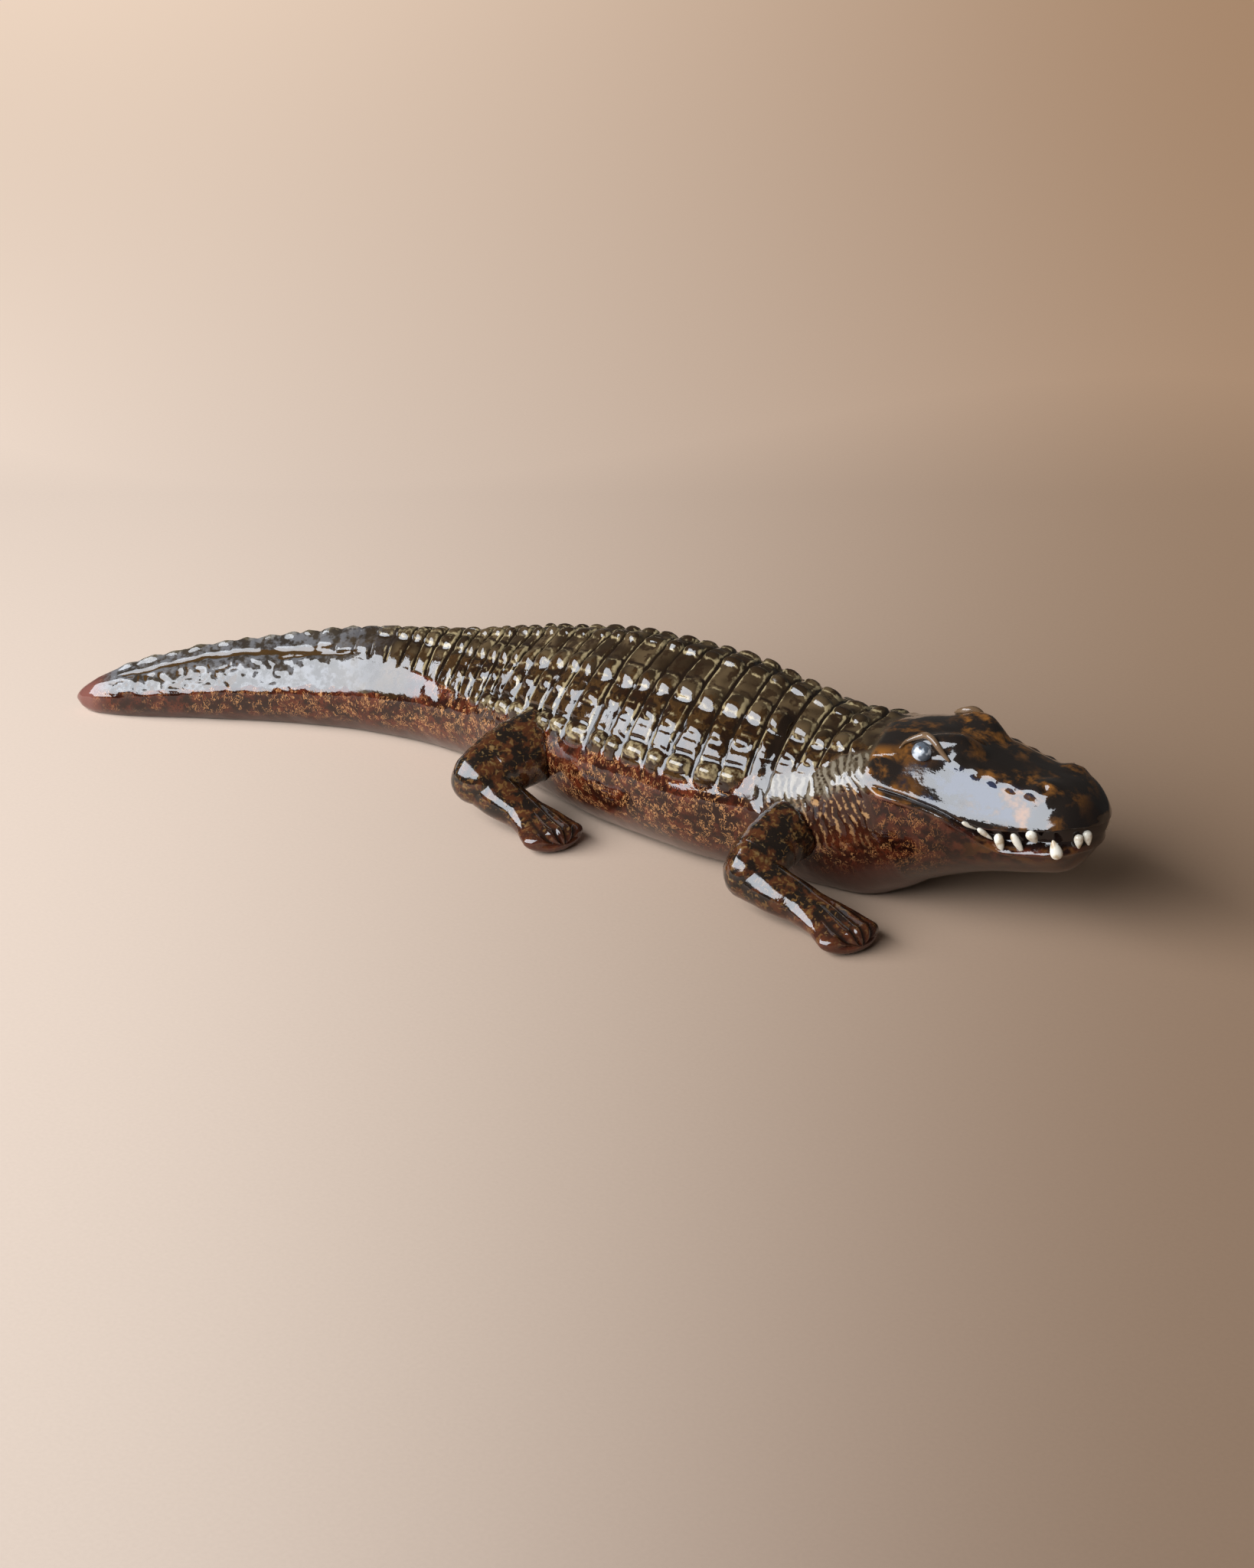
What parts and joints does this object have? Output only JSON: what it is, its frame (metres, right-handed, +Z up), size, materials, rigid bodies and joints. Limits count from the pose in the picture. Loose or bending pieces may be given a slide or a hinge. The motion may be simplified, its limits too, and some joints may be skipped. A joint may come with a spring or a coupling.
{
  "type": "glazed stoneware crocodile figurine",
  "caption": "Tabletop crocodile figure in brown glazed stoneware, lying on its belly, with a curved tail, banded back armour, parted jaws with pale teeth, and splayed feet.",
  "frame": {"origin": "the middle of the figure's footprint, on the surface it lies on", "axes": "+X towards the head, -Y towards the figure's right side, to which the tail bends, +Z up"},
  "size_m": [0.364, 0.1332, 0.0611],
  "materials": {
    "glaze": "thick glossy brown stoneware glaze, olive and cream on the raised scales, red-brown with ochre speckle on the flanks"
  },
  "bodies": {
    "root": {"crocodile": "glaze"}
  },
  "joints": []
}
